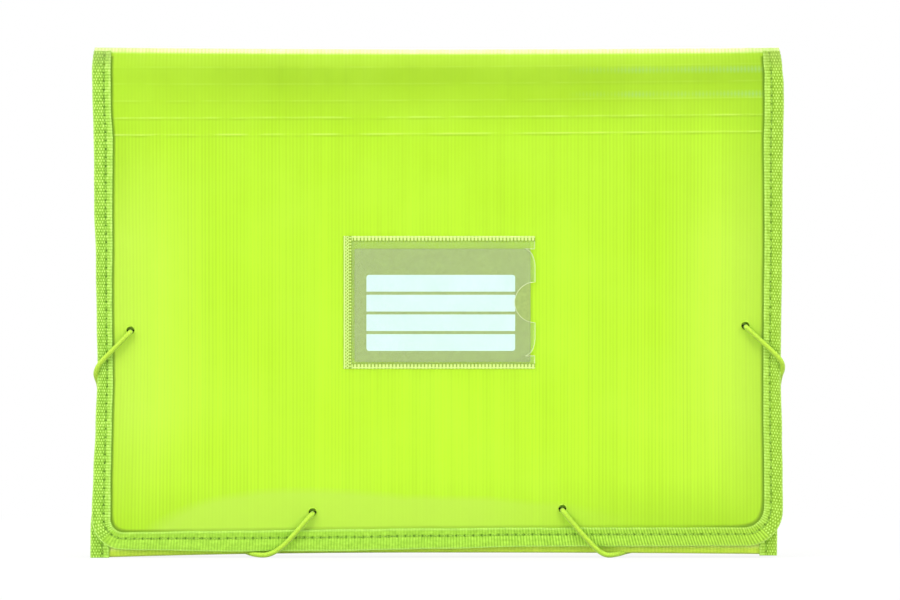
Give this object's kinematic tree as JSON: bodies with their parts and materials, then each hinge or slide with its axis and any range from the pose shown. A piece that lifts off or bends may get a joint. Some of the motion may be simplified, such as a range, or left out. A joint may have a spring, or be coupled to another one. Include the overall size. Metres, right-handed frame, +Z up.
{
  "type": "expanding file",
  "caption": "Expanding file of ribbed translucent sheet with taped edges, a flap with a card pocket, elastic corner closures and a fan of tabbed pockets.",
  "frame": {"origin": "on the surface that the file stands on, under the middle of the closed file", "axes": "+X across to the viewer's right, +Y to the back, away from the flap, +Z up"},
  "size_m": [0.3346, 0.0332, 0.243],
  "materials": {
    "cover_sheet": "satin",
    "divider_sheet": "satin",
    "gusset_film": "satin",
    "binding_tape": "woven",
    "clear_film": "clear",
    "tab_paper": "matt",
    "label_card": "satin",
    "elastic_cord": "braided cover",
    "metal_tip": "plain"
  },
  "bodies": {
    "back_cover": {"back_panel": "cover_sheet", "back_binding_left": "binding_tape", "back_binding_right": "binding_tape", "left_gusset": "gusset_film", "right_gusset": "gusset_film"},
    "pocket_sheet_01": {"divider_01": "divider_sheet", "index_tab_01": "clear_film", "tab_insert_01": "tab_paper"},
    "pocket_sheet_02": {"divider_02": "divider_sheet", "index_tab_02": "clear_film", "tab_insert_02": "tab_paper"},
    "pocket_sheet_03": {"divider_03": "divider_sheet", "index_tab_03": "clear_film", "tab_insert_03": "tab_paper"},
    "pocket_sheet_04": {"divider_04": "divider_sheet", "index_tab_04": "clear_film", "tab_insert_04": "tab_paper"},
    "pocket_sheet_05": {"divider_05": "divider_sheet", "index_tab_05": "clear_film", "tab_insert_05": "tab_paper"},
    "pocket_sheet_06": {"divider_06": "divider_sheet", "index_tab_06": "clear_film", "tab_insert_06": "tab_paper"},
    "pocket_sheet_07": {"divider_07": "divider_sheet", "index_tab_07": "clear_film", "tab_insert_07": "tab_paper"},
    "pocket_sheet_08": {"divider_08": "divider_sheet", "index_tab_08": "clear_film", "tab_insert_08": "tab_paper"},
    "pocket_sheet_09": {"divider_09": "divider_sheet", "index_tab_09": "clear_film", "tab_insert_09": "tab_paper"},
    "pocket_sheet_10": {"divider_10": "divider_sheet", "index_tab_10": "clear_film", "tab_insert_10": "tab_paper"},
    "pocket_sheet_11": {"divider_11": "divider_sheet", "index_tab_11": "clear_film", "tab_insert_11": "tab_paper"},
    "pocket_sheet_12": {"divider_12": "divider_sheet", "index_tab_12": "clear_film", "tab_insert_12": "tab_paper"},
    "front_cover": {"front_panel": "cover_sheet", "front_binding_left": "binding_tape", "front_binding_right": "binding_tape"},
    "top_strip": {"spine_panel": "cover_sheet", "spine_binding": "binding_tape"},
    "flap": {"flap_panel": "cover_sheet", "flap_binding": "binding_tape", "label_pocket": "clear_film", "left_elastic": "elastic_cord", "right_elastic": "elastic_cord", "elastic_tips": "metal_tip"},
    "label_card": {"label_card": "label_card"}
  },
  "joints": [
    {"name": "flap_open", "type": "hinge", "parent": "back_cover", "child": "top_strip", "pos_m": [0, 0.01385, 0.2425], "axis": [-1, 0, 0], "range_deg": [0, 240], "deforming": ["left_gusset", "right_gusset", "left_elastic", "right_elastic"]},
    {"name": "flap_unfold", "type": "hinge", "parent": "top_strip", "child": "flap", "pos_m": [0, -0.01385, 0.2425], "axis": [-1, 0, 0], "range_deg": [0, 90]},
    {"name": "pocket_01_fan", "type": "hinge", "parent": "back_cover", "child": "pocket_sheet_01", "pos_m": [0, 0.0113, 0.0042], "axis": [1, 0, 0], "range_deg": [0, 3]},
    {"name": "pocket_02_fan", "type": "hinge", "parent": "pocket_sheet_01", "child": "pocket_sheet_02", "pos_m": [0, 0.0095, 0.0042], "axis": [1, 0, 0], "range_deg": [0, 3]},
    {"name": "pocket_03_fan", "type": "hinge", "parent": "pocket_sheet_02", "child": "pocket_sheet_03", "pos_m": [0, 0.0077, 0.0042], "axis": [1, 0, 0], "range_deg": [0, 3]},
    {"name": "pocket_04_fan", "type": "hinge", "parent": "pocket_sheet_03", "child": "pocket_sheet_04", "pos_m": [0, 0.0059, 0.0042], "axis": [1, 0, 0], "range_deg": [0, 3]},
    {"name": "pocket_05_fan", "type": "hinge", "parent": "pocket_sheet_04", "child": "pocket_sheet_05", "pos_m": [0, 0.0041, 0.0042], "axis": [1, 0, 0], "range_deg": [0, 3]},
    {"name": "pocket_06_fan", "type": "hinge", "parent": "pocket_sheet_05", "child": "pocket_sheet_06", "pos_m": [0, 0.0023, 0.0042], "axis": [1, 0, 0], "range_deg": [0, 3]},
    {"name": "pocket_07_fan", "type": "hinge", "parent": "pocket_sheet_06", "child": "pocket_sheet_07", "pos_m": [0, 0.0005, 0.0042], "axis": [1, 0, 0], "range_deg": [0, 3]},
    {"name": "pocket_08_fan", "type": "hinge", "parent": "pocket_sheet_07", "child": "pocket_sheet_08", "pos_m": [0, -0.0013, 0.0042], "axis": [1, 0, 0], "range_deg": [0, 3]},
    {"name": "pocket_09_fan", "type": "hinge", "parent": "pocket_sheet_08", "child": "pocket_sheet_09", "pos_m": [0, -0.0031, 0.0042], "axis": [1, 0, 0], "range_deg": [0, 3]},
    {"name": "pocket_10_fan", "type": "hinge", "parent": "pocket_sheet_09", "child": "pocket_sheet_10", "pos_m": [0, -0.0049, 0.0042], "axis": [1, 0, 0], "range_deg": [0, 3]},
    {"name": "pocket_11_fan", "type": "hinge", "parent": "pocket_sheet_10", "child": "pocket_sheet_11", "pos_m": [0, -0.0067, 0.0042], "axis": [1, 0, 0], "range_deg": [0, 3]},
    {"name": "pocket_12_fan", "type": "hinge", "parent": "pocket_sheet_11", "child": "pocket_sheet_12", "pos_m": [0, -0.0085, 0.0042], "axis": [1, 0, 0], "range_deg": [0, 3]},
    {"name": "pocket_13_fan", "type": "hinge", "parent": "pocket_sheet_12", "child": "front_cover", "pos_m": [0, -0.0108, 0.0042], "axis": [1, 0, 0], "range_deg": [0, 3]},
    {"name": "label_card_slide", "type": "slide", "parent": "flap", "child": "label_card", "axis": [1, 0, 0], "range_m": [0, 0.088]}
  ],
  "couplings": [
    {"joint": "flap_unfold", "follows": "flap_open", "ratio": 0.375},
    {"joint": "pocket_01_fan", "follows": "flap_open", "ratio": 0.0125},
    {"joint": "pocket_02_fan", "follows": "flap_open", "ratio": 0.0125},
    {"joint": "pocket_03_fan", "follows": "flap_open", "ratio": 0.0125},
    {"joint": "pocket_04_fan", "follows": "flap_open", "ratio": 0.0125},
    {"joint": "pocket_05_fan", "follows": "flap_open", "ratio": 0.0125},
    {"joint": "pocket_06_fan", "follows": "flap_open", "ratio": 0.0125},
    {"joint": "pocket_07_fan", "follows": "flap_open", "ratio": 0.0125},
    {"joint": "pocket_08_fan", "follows": "flap_open", "ratio": 0.0125},
    {"joint": "pocket_09_fan", "follows": "flap_open", "ratio": 0.0125},
    {"joint": "pocket_10_fan", "follows": "flap_open", "ratio": 0.0125},
    {"joint": "pocket_11_fan", "follows": "flap_open", "ratio": 0.0125},
    {"joint": "pocket_12_fan", "follows": "flap_open", "ratio": 0.0125},
    {"joint": "pocket_13_fan", "follows": "flap_open", "ratio": 0.0125}
  ]
}
